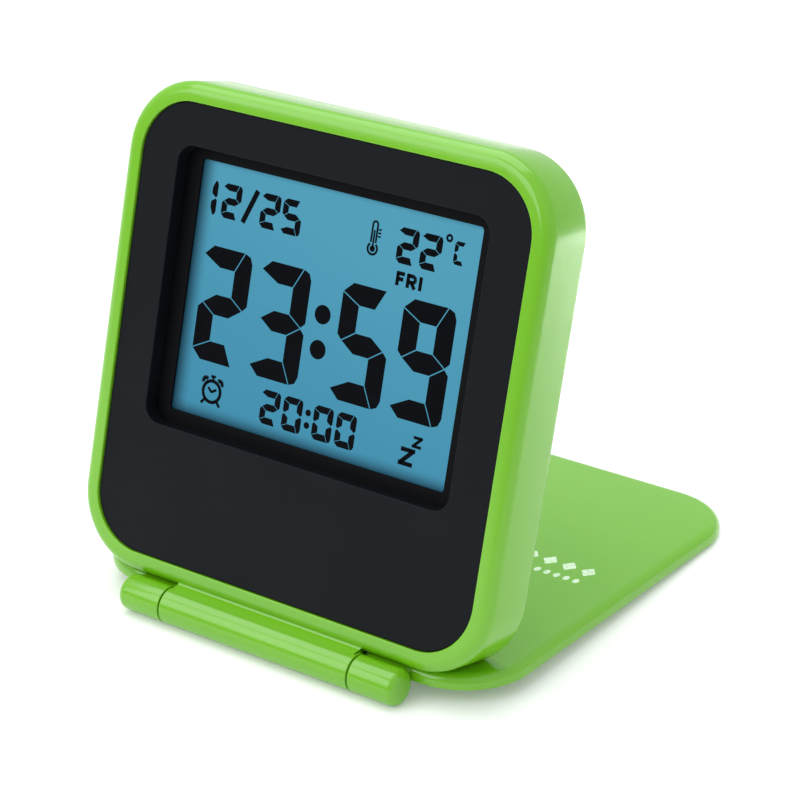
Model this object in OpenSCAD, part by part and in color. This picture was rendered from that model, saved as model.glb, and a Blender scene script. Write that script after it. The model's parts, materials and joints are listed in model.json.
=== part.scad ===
// Folding travel alarm clock with a liquid-crystal display.
// The flip cover hinges on a barrel at the foot of the case. Swung right round,
// it lies behind the clock as its stand, and the foot of the case rests on it.
// Millimetres, +Z up, display facing -Y, origin on the table at the centre of the outline.

/* [Case] */
// Width of the case
case_w = 75; // [74:1:78]
// Height of the case along its leaning face
case_h = 75; // [75:1:78]
// Depth of the case from rim to back
case_d = 10.6; // [10.6:0.2:12]
// Radius of the four corners seen from the front
corner_r = 11.5; // [11:0.5:13]
// Rounding of the rim's outer front edge
front_round = 1.8; // [1:0.2:2]
// Rounding of the case's back edge
back_round = 1.5; // [0.8:0.1:1.6]
// Thickness of the case wall
case_wall = 2.2; // [2:0.1:2.4]
// Width of the green rim around the black panel
rim_w = 3; // [2.6:0.2:3.2]
// How far the case leans back when it stands
lean = 15; // [12:1:18]

/* [Front panel and display] */
// Depth of the panel below the rim
panel_set = 0.4; // [0.2:0.1:0.6]
// Thickness of the panel
panel_t = 1.2; // [1:0.1:1.4]
// Width of the window in the panel
window_w = 55.3; // [54:0.1:56]
// Height of the window in the panel
window_h = 42.2; // [41:0.1:43]
// Height of the window's centre above the foot of the case
window_z = 44.5; // [44:0.1:45]
// Visible width of the display
view_w = 50; // [49:0.5:51]
// Visible height of the display
view_h = 38.2; // [37:0.2:39]

/* [Hinge] */
// Radius of the hinge barrel
barrel_r = 2.8; // [2.6:0.1:2.9]
// Distance from the hinge axis up to the foot of the case
hinge_drop = 2.85; // [2.85:0.05:3.1]
// Distance from the hinge axis back to the face of the case
hinge_back = 0.45; // [0.35:0.05:0.55]
// Half the length of the middle barrel, which belongs to the case
barrel_half = 17.4; // [16:0.2:18]
// Outer end of the cover's knuckles, from the centre
knuckle_end = 25.6; // [24.6:0.2:26]
// Gap between the middle barrel and a knuckle
knuckle_gap = 0.25; // [0.2:0.05:0.3]
// Radius of the steel hinge pins
pin_r = 0.75; // [0.7:0.05:0.9]

/* [Cover] */
// Overall thickness of the cover
cover_t = 2.4; // [2.2:0.1:2.6]
// Thickness of the cover's flat plate
cover_plate = 1.3; // [1.1:0.1:1.4]
// How far the cover reaches past the top of the case when shut
cover_lip = 1; // [0.6:0.2:1.4]
// Gap between the shut cover and the rim of the case
cover_gap = 0.2; // [0.15:0.05:0.25]

/* [Controls] */
// Travel of a push button
button_travel = 0.4; // [0.3:0.05:0.4]
// How far the buttons stand out of the back
button_proud = 0.7; // [0.6:0.1:0.8]

/* [Hidden] */
$fn = 64;

lime = [0.44, 0.80, 0.12];
black_plastic = [0.15, 0.16, 0.17];
steel = [0.75, 0.76, 0.78];
board_green = [0.05, 0.36, 0.18];
eps = 0.01;

// Hinge: how the open cover lies. Its far edge touches the table, the barrel too.
land_drop = 0.1;
cover_len = case_h + cover_lip;
inner_edge = 0.5;
outer_edge = 1.5;
cover_reach = cover_len + hinge_drop;
under_axis = hinge_back - cover_gap;
slope = asin((barrel_r - under_axis + land_drop) / (cover_reach - inner_edge));
open_angle = 270 + lean - slope;
top_above_axis = cover_t - under_axis;
far_y = (cover_reach - outer_edge) * cos(slope) + (top_above_axis - outer_edge) * sin(slope) + outer_edge;
axis_y = (barrel_r - far_y) / 2;
axis_z = barrel_r;
rest_gap = 0.04;
notch_r = barrel_r + 1.25;
knuckle_start = barrel_half + knuckle_gap;
knuckle_round = 1.2;
pin_in_barrel = 7.5;
bore_clear = 0.05;

// Depths, measured back from the face of the case
panel_back = panel_set + panel_t;
ledge_back = panel_back + 1;
collar_back = panel_back + 1.35;
mask_y = collar_back + 0.05;
mask_t = 0.42;
polarizer_t = 0.15;
glass_t = 0.7;
front_pol_y = mask_y + mask_t + 0.03;
front_glass_y = front_pol_y + polarizer_t;
rear_glass_y = front_glass_y + glass_t;
rear_pol_y = rear_glass_y + glass_t;
guide_y = rear_pol_y + polarizer_t + 0.05;
guide_t = 1.1;
film_y = guide_y + guide_t + 0.02;
board_t = 0.8;
cover_back_t = 1.2;
back_in = case_d - cover_back_t;
board_y = back_in - 2.1 - board_t;
board_back = board_y + board_t;

// Inside of the case: the foot is thick because its underside slopes to meet the cover
panel_w = case_w - 2 * rim_w;
panel_h = case_h - 2 * rim_w;
panel_r = corner_r - rim_w + 0.2;
cavity_foot = 4.3;
cavity_r = corner_r - case_wall;
cavity_hx = case_w / 2 - case_wall;
cavity_top = case_h - case_wall;
ledge_w = 1.8;
boss_r = 2.2;
boss_offset = (cavity_r - boss_r + 0.3) * cos(45);
boss_x = cavity_hx - cavity_r + boss_offset;
boss_low = cavity_foot + cavity_r - boss_offset;
boss_high = cavity_top - cavity_r + boss_offset;
boss_spots = [for (x = [-boss_x, boss_x], z = [boss_low, boss_high]) [x, z]];
screw_r = 0.8;
screw_head_r = 1.6;
screw_head_t = 0.7;
screw_len = 5;

// Display stack
view_z = window_z + 0.15;
glass_w = 53.4;
glass_top = window_z + 20.9;
glass_foot = window_z - 20.6;
// the front glass reaches past the rear one, to meet the contact strip
ledge_top = glass_top + 3.5;
guide_foot = glass_foot + 2.2;
frame_hx = 30.6;
frame_foot = glass_foot - 2;
frame_top = ledge_top + 1.5;
frame_screw_x = 28.8;
frame_screws = [for (x = [-1, 1], z = [26, 63]) [x * frame_screw_x, z]];
small_screw_r = 0.6;

// Battery
cell_r = 10;
cell_t = 2.5;
cell_z = 17;
cell_y = board_y + 0.07;
cell_hole_r = cell_r + 0.45;
door_r = 10.75;
door_gap = 0.12;
lug_r = 12;
strip_t = 0.25;
lug_arc = 30;
lug_t = 0.25;
twist = 45;

// Keys
key_z = 37;
key_xs = [22.5, 7.5, -7.5, -22.5];
key_w = 7;
key_h = 3.6;
snooze_z = 66;
snooze_w = 26;
snooze_h = 4.6;
key_clear = 0.15;
key_flange = 0.7;
flange_t = 0.45;
switch_t = 0.9;
switch_w = 4.5;
post_r = 0.8;
switch_spots = concat([for (x = key_xs) [x, key_z]], [[0, snooze_z]]);

// Sounder, and the air slots by the temperature sensor
piezo_z = 50;
piezo_r = 10;
piezo_t = 0.4;
slot_w = 1;
slot_pitch = 2.4;
air_x = -25;
air_z = 12.7;

// ---- placing ----

// Turns children about the hinge axis, in the case's own frame
module fold(angle) {
    translate([0, -hinge_back, -hinge_drop])
        rotate([angle, 0, 0])
            translate([0, hinge_back, hinge_drop])
                children();
}

// The case's frame: origin at the foot of its face, Y into its depth, Z up the face
module in_case() {
    translate([0, axis_y, axis_z])
        rotate([-lean, 0, 0])
            translate([0, hinge_back, hinge_drop])
                children();
}

// The cover is drawn shut, in the case's frame, and swung round to where it stands
module in_cover() {
    in_case()
        fold(open_angle)
            children();
}

// ---- shapes ----

module round_rect(w, h, r) {
    square([w - 2 * r, h], center = true);
    square([w, h - 2 * r], center = true);
    for (x = [-1, 1], y = [-1, 1])
        translate([x * (w / 2 - r), y * (h / 2 - r)])
            circle(r);
}

// A plate that faces the front, from depth y0 to y1, between heights z0 and z1
module plate(w, z0, z1, r, y0, y1, x = 0) {
    translate([x, y1, (z0 + z1) / 2])
        rotate([90, 0, 0])
            linear_extrude(y1 - y0)
                round_rect(w, z1 - z0, r);
}

// A round rod that runs into the depth of the case
module rod(r, y0, y1, x, z) {
    translate([x, y1, z])
        rotate([90, 0, 0])
            cylinder(r = r, h = y1 - y0);
}

// A straight box that faces the front
module block(w, z0, z1, y0, y1, x = 0) {
    translate([x - w / 2, y0, z0])
        cube([w, y1 - y0, z1 - z0]);
}

// Half the cross-section of a slab: a is the rounding of its near edge, b of its far edge
module edge_profile(reach, depth, a, b) {
    intersection() {
        square([reach, depth]);
        union() {
            translate([0, a])
                square([reach, depth - a - b]);
            square([reach - a, a]);
            translate([reach - a, a])
                circle(a);
            translate([0, depth - b])
                square([reach - b, b]);
            translate([reach - b, depth - b])
                circle(b);
        }
    }
}

// A slab with round corners and rounded edges, from y = 0 to y = depth
module soft_slab(w, h, depth, r, a, b) {
    for (x = [-1, 1], z = [r, h - r])
        translate([x * (w / 2 - r), 0, z])
            rotate([-90, 0, 0])
                rotate_extrude()
                    edge_profile(r, depth, a, b);
    translate([0, 0, r])
        linear_extrude(h - 2 * r)
            for (m = [0, 1])
                mirror([m, 0])
                    edge_profile(w / 2, depth, a, b);
    translate([w / 2 - r, 0, h / 2])
        rotate([0, -90, 0])
            linear_extrude(w - 2 * r)
                for (m = [0, 1])
                    mirror([m, 0])
                        edge_profile(h / 2, depth, a, b);
}

// A cylinder along X, round the hinge axis, in the case's frame
module on_axis(r, x0, x1) {
    translate([x0, -hinge_back, -hinge_drop])
        rotate([0, 90, 0])
            cylinder(r = r, h = x1 - x0);
}

// ---- green mouldings ----

// Neck that joins the middle barrel to the foot of the case
module hinge_neck() {
    // the front runs from the top of the barrel into the rounding of the rim
    top = barrel_r - 0.15;
    rise = hinge_drop + front_round;
    translate([-barrel_half, -hinge_back, -hinge_drop])
        rotate([90, 0, 90])
            linear_extrude(2 * barrel_half)
                polygon([[0, 0], [-top * sin(20), top * cos(20)], [hinge_back, rise - 1.05], [hinge_back + 0.35, rise],
                    [barrel_r - 0.2, rise], [barrel_r - 0.3, barrel_r], [top * cos(30), top * sin(30)]]);
}

module front_case() {
    color(lime)
    in_case()
    difference() {
        union() {
            difference() {
                soft_slab(case_w, case_h, case_d, corner_r, front_round, back_round);
                plate(2 * cavity_hx, cavity_foot, cavity_top, cavity_r, ledge_back, case_d + 1);
                plate(panel_w, rim_w, case_h - rim_w, panel_r, -1, panel_back);
                plate(panel_w - 2 * ledge_w, rim_w + ledge_w, case_h - rim_w - ledge_w,
                    panel_r - ledge_w, panel_back - eps, ledge_back + eps);
            }
            for (s = boss_spots)
                rod(boss_r, panel_back, back_in, s[0], s[1]);
            on_axis(barrel_r, -barrel_half, barrel_half);
            hinge_neck();
        }
        // underside of the foot, flat on the cover
        fold(open_angle)
            translate([-case_w, -cover_gap - cover_t - rest_gap, 0.2])
                cube([2 * case_w, 20, 20]);
        // pilot holes for the case screws
        for (s = boss_spots)
            rod(screw_r, back_in - screw_len, case_d, s[0], s[1]);
        // blind bores for the hinge pins
        for (m = [0, 1])
            mirror([m, 0, 0])
                on_axis(pin_r + bore_clear, barrel_half - pin_in_barrel - 0.5, barrel_half + 1);
    }
}

// Arc of a ring round the battery door's centre, in the case's frame
module door_arc(r0, r1, y0, y1, start, sweep) {
    translate([0, y1, cell_z])
        rotate([90, 0, 0])
            rotate([0, 0, start])
                rotate_extrude(angle = sweep)
                    translate([r0, 0])
                        square([r1 - r0, y1 - y0]);
}

module key_hole(w, h, x, z) {
    plate(w + 2 * key_clear, z - h / 2 - key_clear, z + h / 2 + key_clear,
        h / 2 + key_clear - eps, back_in - 1, case_d + 1, x);
}

module back_cover() {
    color(lime)
    in_case()
    difference() {
        union() {
            plate(2 * cavity_hx - 0.2, cavity_foot + 0.1, cavity_top - 0.1, cavity_r - 0.1, back_in, case_d);
            // ring that the sounder disc is glued to
            difference() {
                rod(piezo_r - 0.4, back_in - 0.1, back_in + eps, 0, piezo_z);
                rod(piezo_r - 1.6, back_in - 1, back_in + 1, 0, piezo_z);
            }
        }
        rod(door_r + door_gap, back_in - 1, case_d + 1, 0, cell_z);
        for (a = [0, 180])
            door_arc(door_r - 1, lug_r + 0.2, back_in - 1, case_d + 1, a - twist - 2, lug_arc + 4);
        for (x = key_xs)
            key_hole(key_w, key_h, x, key_z);
        key_hole(snooze_w, snooze_h, 0, snooze_z);
        for (s = boss_spots) {
            rod(screw_r + 0.2, back_in - 1, case_d + 1, s[0], s[1]);
            rod(screw_head_r + 0.15, case_d - screw_head_t, case_d + 1, s[0], s[1]);
        }
        // sound slots
        for (i = [-2:2])
            plate(slot_w, piezo_z - 5 + abs(i), piezo_z + 5 - abs(i), slot_w / 2 - eps,
                back_in - 1, case_d + 1, slot_pitch * i);
        // air slots by the temperature sensor
        for (i = [-1:1])
            plate(5, air_z + slot_pitch * i - slot_w / 2, air_z + slot_pitch * i + slot_w / 2, slot_w / 2 - eps,
                back_in - 1, case_d + 1, air_x);
    }
}

module front_panel() {
    fit = 0.1;
    color(black_plastic)
    in_case()
    difference() {
        union() {
            plate(panel_w - 2 * fit, rim_w + fit, case_h - rim_w - fit, panel_r - fit, panel_set, panel_back);
            plate(window_w + 2, window_z - window_h / 2 - 1, window_z + window_h / 2 + 1, 3.6,
                panel_back - 0.2, collar_back);
        }
        plate(window_w, window_z - window_h / 2, window_z + window_h / 2, 2.7, -1, case_d);
    }
}

// ---- display ----

module display_frame() {
    color(black_plastic)
    in_case()
    difference() {
        plate(2 * frame_hx, frame_foot, frame_top, 2, mask_y, board_y);
        plate(view_w, view_z - view_h / 2, view_z + view_h / 2, 0.6, mask_y - 1, case_d);
        block(glass_w + 0.2, glass_foot - 0.1, ledge_top + 0.1, mask_y + mask_t, case_d);
        for (s = boss_spots)
            rod(boss_r + 0.4, 0, case_d, s[0], s[1]);
        for (s = frame_screws)
            rod(small_screw_r, board_y - 3, case_d, s[0], s[1]);
    }
}

module sheet_of(w, z0, z1, y0, t, paint) {
    color(paint)
    in_case()
        block(w, z0, z1, y0, y0 + t);
}

module front_polarizer() {
    sheet_of(glass_w - 1, view_z - view_h / 2 - 1, view_z + view_h / 2 + 1, front_pol_y, polarizer_t,
        [0.28, 0.60, 0.72]);
}

module front_glass() {
    sheet_of(glass_w, glass_foot, ledge_top, front_glass_y, glass_t, [0.75, 0.88, 0.92, 0.5]);
}

module rear_glass() {
    sheet_of(glass_w, glass_foot, glass_top, rear_glass_y, glass_t, [0.70, 0.85, 0.90, 0.5]);
}

module rear_polarizer() {
    sheet_of(glass_w - 1, glass_foot + 0.5, glass_top - 0.5, rear_pol_y, polarizer_t, [0.40, 0.65, 0.75]);
}

module light_guide() {
    sheet_of(glass_w - 0.4, guide_foot, glass_top - 0.3, guide_y, guide_t, [0.60, 0.82, 0.95, 0.7]);
}

module reflector_film() {
    sheet_of(glass_w - 0.4, guide_foot, glass_top - 0.3, film_y, 0.07, [0.95, 0.96, 0.97]);
}

// Two side-firing lamps along the foot of the light guide
module backlight_leds() {
    lamp_w = 3.8;
    lamp_h = 1.3;
    lamp_t = 1.3;
    lamp_x = 17;
    color([0.95, 0.95, 0.88])
    in_case()
        for (x = [-lamp_x, lamp_x])
            block(lamp_w, guide_foot - 0.1 - lamp_h, guide_foot - 0.1, board_y - lamp_t, board_y, x);
}

// Striped rubber connector between the glass ledge and the board
module contact_strip() {
    color([0.85, 0.55, 0.60])
    in_case()
        block(glass_w - 3, ledge_top - 2.5, ledge_top - 0.5, rear_glass_y, board_y);
}

// ---- electronics ----

module circuit_board() {
    board_w = 67;
    board_foot = 5.6;
    board_top = 71;
    corner_cut = 9;
    color(board_green)
    in_case()
    difference() {
        plate(board_w, board_foot, board_top, 2, board_y, board_back);
        for (s = boss_spots)
            rod(boss_r + 0.4, 0, case_d, s[0], s[1]);
        rod(cell_hole_r, 0, case_d, 0, cell_z);
        for (s = frame_screws)
            rod(small_screw_r + 0.1, 0, case_d, s[0], s[1]);
        // corners cut off to clear the round corners of the case
        for (x = [-1, 1], z = [board_foot, board_top])
            translate([x * board_w / 2, board_y, z])
                rotate([0, 45, 0])
                    cube([corner_cut, 4 * board_t, corner_cut], center = true);
    }
}

// Bonded chip under its drop of black resin
module clock_chip() {
    drop_r = 4.8;
    drop_h = 1;
    // the dome is a cap of a large sphere
    dome_r = (drop_r * drop_r + drop_h * drop_h) / (2 * drop_h);
    color([0.06, 0.06, 0.06])
    in_case()
        translate([0, board_back, piezo_z])
            rotate([-90, 0, 0])
                rotate_extrude()
                    intersection() {
                        square([drop_r + 1, drop_h]);
                        translate([0, drop_h - dome_r])
                            circle(dome_r, $fn = 180);
                    }
}

module quartz_crystal() {
    can_r = 0.75;
    can_len = 6;
    lead_len = 1.4;
    color(steel)
    in_case()
        translate([-16, board_back + can_r, 47]) {
            cylinder(r = can_r, h = can_len);
            translate([0, 0, -lead_len])
                cylinder(r = 0.25, h = lead_len + eps);
        }
}

module temperature_sensor() {
    bead_r = 0.9;
    lead_gap = 0.8;
    color([0.10, 0.10, 0.11])
    in_case() {
        translate([air_x, board_back + bead_r, air_z])
            sphere(r = bead_r);
        for (x = [-1, 1])
            rod(0.16, board_back, board_back + bead_r, air_x + x * lead_gap / 2, air_z);
    }
}

// Resistors and capacitors, soldered in rows beside the chip
module board_parts() {
    color([0.72, 0.62, 0.48])
    in_case()
        for (x = [13, 17, 21, 25], z = [45, 48, 51, 54])
            block(1.6, z, z + 0.9, board_back, board_back + 0.55, x);
}

module key_switches() {
    color([0.80, 0.80, 0.82])
    in_case()
        for (s = switch_spots)
            difference() {
                block(switch_w, s[1] - switch_w / 2, s[1] + switch_w / 2, board_back, board_back + switch_t, s[0]);
                rod(post_r + 0.2, board_back + 0.05, case_d, s[0], s[1]);
            }
}

module piezo_disc() {
    disc_y = back_in - 0.1 - piezo_t;
    color([0.82, 0.68, 0.30])
    in_case() {
        rod(piezo_r, disc_y + 0.2, disc_y + piezo_t, 0, piezo_z);
        rod(piezo_r - 2.6, disc_y, disc_y + 0.2 + eps, 0, piezo_z);
    }
}

// C-shaped leaf springs that carry the signal from the board to the sounder disc
module piezo_springs() {
    leaf_t = 0.15;
    leaf_w = 1.2;
    foot_len = 2;
    rise = back_in - 0.1 - piezo_t - board_back;
    color(steel)
    in_case()
        for (m = [0, 1])
            mirror([m, 0, 0])
                translate([piezo_r - 4.6, board_back, piezo_z - leaf_w / 2])
                    linear_extrude(leaf_w)
                        polygon([[0, 0], [foot_len, 0], [foot_len, leaf_t], [leaf_t, leaf_t],
                            [leaf_t, rise - leaf_t], [foot_len, rise - leaf_t], [foot_len, rise], [0, rise]]);
}

module coin_cell() {
    color(steel)
    in_case() {
        rod(cell_r, cell_y + 0.5, cell_y + cell_t, 0, cell_z);
        rod(cell_r - 1.2, cell_y, cell_y + 0.5 + eps, 0, cell_z);
    }
}

module cell_contact_positive() {
    color([0.88, 0.80, 0.55])
    in_case() {
        block(strip_t, cell_z - 2.5, cell_z + 2.5, board_back, cell_y + cell_t - 0.2, cell_r + 0.2);
        block(3.6, cell_z - 2.5, cell_z + 2.5, board_back, board_back + strip_t, cell_r + 2);
    }
}

module cell_contact_negative() {
    tongue_w = 3.4;
    color([0.88, 0.80, 0.55])
    in_case() {
        // foot on the board, tongue under the cell, and the dimple that touches it
        block(4.2, cell_z - tongue_w / 2, cell_z + tongue_w / 2, board_y - strip_t, board_y, -12.8);
        block(14.5, cell_z - tongue_w / 2, cell_z + tongue_w / 2, board_y - strip_t - 0.2, board_y - 0.2, -4.2);
        rod(1.1, board_y - 0.4, cell_y, 0, cell_z);
    }
}

module battery_door() {
    color(lime)
    in_case()
    difference() {
        union() {
            rod(door_r, back_in + 0.05, case_d, 0, cell_z);
            difference() {
                rod(door_r - 0.5, back_in - 0.05 - lug_t, back_in + 0.06, 0, cell_z);
                rod(door_r - 1.6, back_in - 1, back_in + 0.05, 0, cell_z);
            }
            for (a = [0, 180])
                door_arc(door_r - 1.4, lug_r, back_in - 0.05 - lug_t, back_in - 0.05, a, lug_arc);
        }
        // slot for a coin
        plate(13, cell_z - 0.8, cell_z + 0.8, 0.7, case_d - 0.6, case_d + 1);
        // sunk dot that shows the locked position
        rod(0.5, case_d - 0.2, case_d + 1, 0, cell_z + 8.4);
    }
}

// ---- keys ----

// A push button: cap, flange that keeps it in, and the post that works its switch
module key(w, h, x, z) {
    flange_y = back_in - 0.2 - flange_t;
    color([0.20, 0.21, 0.22])
    in_case() {
        plate(w, z - h / 2, z + h / 2, h / 2 - eps, flange_y, case_d + button_proud, x);
        plate(w + 2 * key_flange, z - h / 2 - key_flange, z + h / 2 + key_flange, 1, flange_y, flange_y + flange_t, x);
        rod(post_r, board_back + button_travel + 0.1, flange_y + eps, x, z);
    }
}

module mode_button() { key(key_w, key_h, key_xs[0], key_z); }
module set_button() { key(key_w, key_h, key_xs[1], key_z); }
module up_button() { key(key_w, key_h, key_xs[2], key_z); }
module down_button() { key(key_w, key_h, key_xs[3], key_z); }
module snooze_button() { key(snooze_w, snooze_h, 0, snooze_z); }

// ---- fasteners ----

module cross_screw(x, z, head_y, shank_r, head_r, head_t, len) {
    recess_w = 0.3;
    difference() {
        union() {
            rod(head_r, head_y - head_t, head_y, x, z);
            rod(shank_r, head_y - head_t - len, head_y - head_t + eps, x, z);
        }
        block(1.4 * head_r, z - recess_w / 2, z + recess_w / 2, head_y - head_t / 2, head_y + 1, x);
        block(recess_w, z - 0.7 * head_r, z + 0.7 * head_r, head_y - head_t / 2, head_y + 1, x);
    }
}

module case_screws() {
    color(steel)
    in_case()
        for (s = boss_spots)
            cross_screw(s[0], s[1], case_d, screw_r, screw_head_r, screw_head_t, screw_len - screw_head_t);
}

module board_screws() {
    color(steel)
    in_case()
        for (s = frame_screws)
            cross_screw(s[0], s[1], board_back + 0.5, small_screw_r, 1.1, 0.5, board_t + 2.6);
}

// ---- cover and hinge ----

// Outer knuckle with its rounded end, turned round the hinge axis
module knuckle(x0, x1, end_round) {
    translate([x0, -hinge_back, -hinge_drop])
        rotate([0, 90, 0])
            rotate_extrude()
                edge_profile(barrel_r, x1 - x0, eps, end_round);
}

module cover() {
    wall = 1.7;
    foot_wall = 3.2;
    color(lime)
    difference() {
        in_cover()
        difference() {
            union() {
                difference() {
                    translate([0, -cover_gap - cover_t, 0])
                        soft_slab(case_w, cover_len, cover_t, corner_r, outer_edge, inner_edge);
                    plate(case_w - 2 * wall, foot_wall, cover_len - foot_wall, corner_r - wall,
                        -cover_gap - cover_t + cover_plate, 1);
                }
                for (m = [0, 1])
                    mirror([m, 0, 0]) {
                        knuckle(knuckle_start, knuckle_end, knuckle_round);
                        // tongue from the knuckle to the plate
                        translate([knuckle_start, -cover_gap - cover_t, -hinge_drop])
                            cube([knuckle_end - knuckle_start - knuckle_round, cover_t, hinge_drop + wall]);
                    }
            }
            // clearance for the middle barrel and its neck
            on_axis(notch_r, -knuckle_start, knuckle_start);
            // blind holes that grip the pins
            for (m = [0, 1])
                mirror([m, 0, 0])
                    on_axis(pin_r, knuckle_start - 1, knuckle_end - knuckle_round);
        }
        // narrow land along the far edge, flat on the table
        translate([-case_w, -case_h, -2])
            cube([2 * case_w, 2 * case_h, 2]);
    }
}

module hinge_pin() {
    color(steel)
    in_cover()
        on_axis(pin_r, barrel_half - pin_in_barrel, knuckle_end - knuckle_round);
}

module hinge_pin_right() { hinge_pin(); }
module hinge_pin_left() { mirror([1, 0, 0]) hinge_pin(); }

front_case();
back_cover();
front_panel();
display_frame();
front_polarizer();
front_glass();
rear_glass();
rear_polarizer();
light_guide();
reflector_film();
backlight_leds();
contact_strip();
circuit_board();
clock_chip();
quartz_crystal();
temperature_sensor();
board_parts();
key_switches();
piezo_disc();
piezo_springs();
coin_cell();
cell_contact_positive();
cell_contact_negative();
battery_door();
mode_button();
set_button();
up_button();
down_button();
snooze_button();
case_screws();
board_screws();
cover();
hinge_pin_left();
hinge_pin_right();
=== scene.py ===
import json
import math

import bmesh
import bpy
from mathutils import Matrix, Vector


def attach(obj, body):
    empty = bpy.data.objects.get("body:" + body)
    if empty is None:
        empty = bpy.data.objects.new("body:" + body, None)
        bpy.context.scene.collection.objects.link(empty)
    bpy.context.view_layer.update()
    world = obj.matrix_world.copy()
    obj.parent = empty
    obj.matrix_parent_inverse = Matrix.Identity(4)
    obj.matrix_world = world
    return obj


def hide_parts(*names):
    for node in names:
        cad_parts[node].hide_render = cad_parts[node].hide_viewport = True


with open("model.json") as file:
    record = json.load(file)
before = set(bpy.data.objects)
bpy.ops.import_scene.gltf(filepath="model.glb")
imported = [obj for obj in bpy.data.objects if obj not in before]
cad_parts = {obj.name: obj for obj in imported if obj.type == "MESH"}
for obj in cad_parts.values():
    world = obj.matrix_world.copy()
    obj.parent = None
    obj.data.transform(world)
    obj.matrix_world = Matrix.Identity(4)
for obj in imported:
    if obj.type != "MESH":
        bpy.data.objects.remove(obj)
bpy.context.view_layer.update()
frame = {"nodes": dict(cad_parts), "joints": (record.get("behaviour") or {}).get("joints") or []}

# ---- front case ----
# The main moulding, in glossy lime ABS: the rim round the panel, the four walls, and at its foot
# the neck and the middle barrel of the hinge. Its underside is bevelled to lie on the cover.
CASE_CORNER = 11.5
FRONT_ROUND = 1.8
BACK_ROUND = 1.5
RIM = 3.0
PANEL_SEAT = 1.6
SEAT_LEDGE = 1.8
SEAT_BACK = 2.6
WALL = 2.2
FOOT_THICK = 4.3
NECK_IN = 0.35
NECK_SOFT = 0.6
PIN_ROOM = 0.8
PIN_REACH = 8.0
REST_GAP = 0.04
FOOT_CUT_HIGH = 40
FINE_CORNER = 16
FINE_ROUND = 72
MOULD_EDGE = 0.16

# The case leans back over the hinge axis, and the flip cover is swung right round that axis.
# Each piece is drawn upright and shut, in millimetres, seen from the front: X to the right,
# Y into the depth of the case, Z up its face. The joints say how that stands.
MM = 0.001
joints = {joint["name"]: joint for joint in frame["joints"]}
back_axis = Vector(joints["door_twist"]["axis"])
lean = math.atan2(-back_axis.z, back_axis.y)
swing = math.radians(joints["cover_hinge"]["range_deg"][1])
hinge_frame = (Matrix.Translation(joints["cover_hinge"]["pos_m"])
               @ Matrix.Rotation(-lean, 4, "X") @ Matrix.Scale(MM, 4))


def points_of(node, place):
    """A CAD node's points in the frame that place sets in the world."""
    inverse = place.inverted()
    return [inverse @ vertex.co for vertex in frame["nodes"][node].data.vertices]


def reach(node, place):
    """Lowest and highest corner of a CAD node in that frame, in millimetres."""
    found = points_of(node, place)
    low = Vector([min(point[i] for point in found) for i in range(3)])
    high = Vector([max(point[i] for point in found) for i in range(3)])
    return low, high


panel_low, panel_high = reach("front_panel", hinge_frame)
panel_middle = (panel_low.z + panel_high.z) / 2
rim_points = [point for point in points_of("front_case", hinge_frame) if point.z > panel_middle]
rim_top = max(point.z for point in rim_points)
rim_face = min(point.y for point in rim_points)
to_foot = Matrix.Translation((0, rim_face, 2 * panel_middle - rim_top))
case_frame = hinge_frame @ to_foot
cover_frame = hinge_frame @ Matrix.Rotation(swing, 4, "X") @ to_foot
hinge_at = case_frame.inverted() @ Vector(joints["cover_hinge"]["pos_m"])

case_low, case_high = reach("front_case", case_frame)
case_width = case_high.x - case_low.x
case_height = case_high.z
case_depth = case_high.y
barrel_radius = hinge_at.z - case_low.z
barrel_half = max(point.x for point in points_of("front_case", case_frame) if point.z < hinge_at.z)


def rounded(corners, steps=6):
    """Outline through the corners (across, along, radius), with every radius drawn as an arc."""
    outline = []
    for i, (across, along, radius) in enumerate(corners):
        here = Vector((across, along))
        if radius == 0:
            outline.append(here)
            continue
        before = (Vector(corners[i - 1][:2]) - here).normalized()
        after = (Vector(corners[(i + 1) % len(corners)][:2]) - here).normalized()
        half = before.angle(after) / 2
        centre = here + (before + after).normalized() * radius / math.sin(half)
        arm = here + before * radius / math.tan(half) - centre
        last = here + after * radius / math.tan(half) - centre
        turn = math.atan2(arm.x * last.y - arm.y * last.x, arm.dot(last))
        for k in range(steps + 1):
            outline.append(centre + Matrix.Rotation(turn * k / steps, 2) @ arm)
    return outline


def placed(name, data):
    """New object in the scene, from its mesh, lamp or camera."""
    made = bpy.data.objects.new(name, data)
    bpy.context.scene.collection.objects.link(made)
    return made


def solid(name, made):
    """Object from a closed bmesh, with its faces turned outwards."""
    bmesh.ops.recalc_face_normals(made, faces=made.faces)
    mesh = bpy.data.meshes.new(name)
    made.to_mesh(mesh)
    made.free()
    return placed(name, mesh)


def skin(name, rows):
    """Closed solid from rows of points, each row the same length, with both ends capped."""
    made = bmesh.new()
    rings = [[made.verts.new(point) for point in row] for row in rows]
    for near, far in zip(rings, rings[1:]):
        for i in range(len(near)):
            j = (i + 1) % len(near)
            made.faces.new((near[i], near[j], far[j], far[i]))
    made.faces.new(rings[0])
    made.faces.new(rings[-1])
    return solid(name, made)


def slab(name, width, height, corner, section, x=0.0, z=0.0, steps=10):
    """Solid with round corners. Each section point draws the outline in, at its own depth."""
    rows = []
    for inset, depth in section:
        radius = max(corner - inset, 0.02)
        row = []
        for quarter, (side, up) in enumerate(((1, 1), (-1, 1), (-1, -1), (1, -1))):
            middle_x = x + side * (width / 2 - inset - radius)
            middle_z = z + up * (height / 2 - inset - radius)
            for k in range(steps + 1):
                angle = (quarter + k / steps) * math.pi / 2
                across, up_face = radius * math.cos(angle), radius * math.sin(angle)
                row.append((middle_x + across, depth, middle_z + up_face))
        rows.append(row)
    return skin(name, rows)


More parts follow.
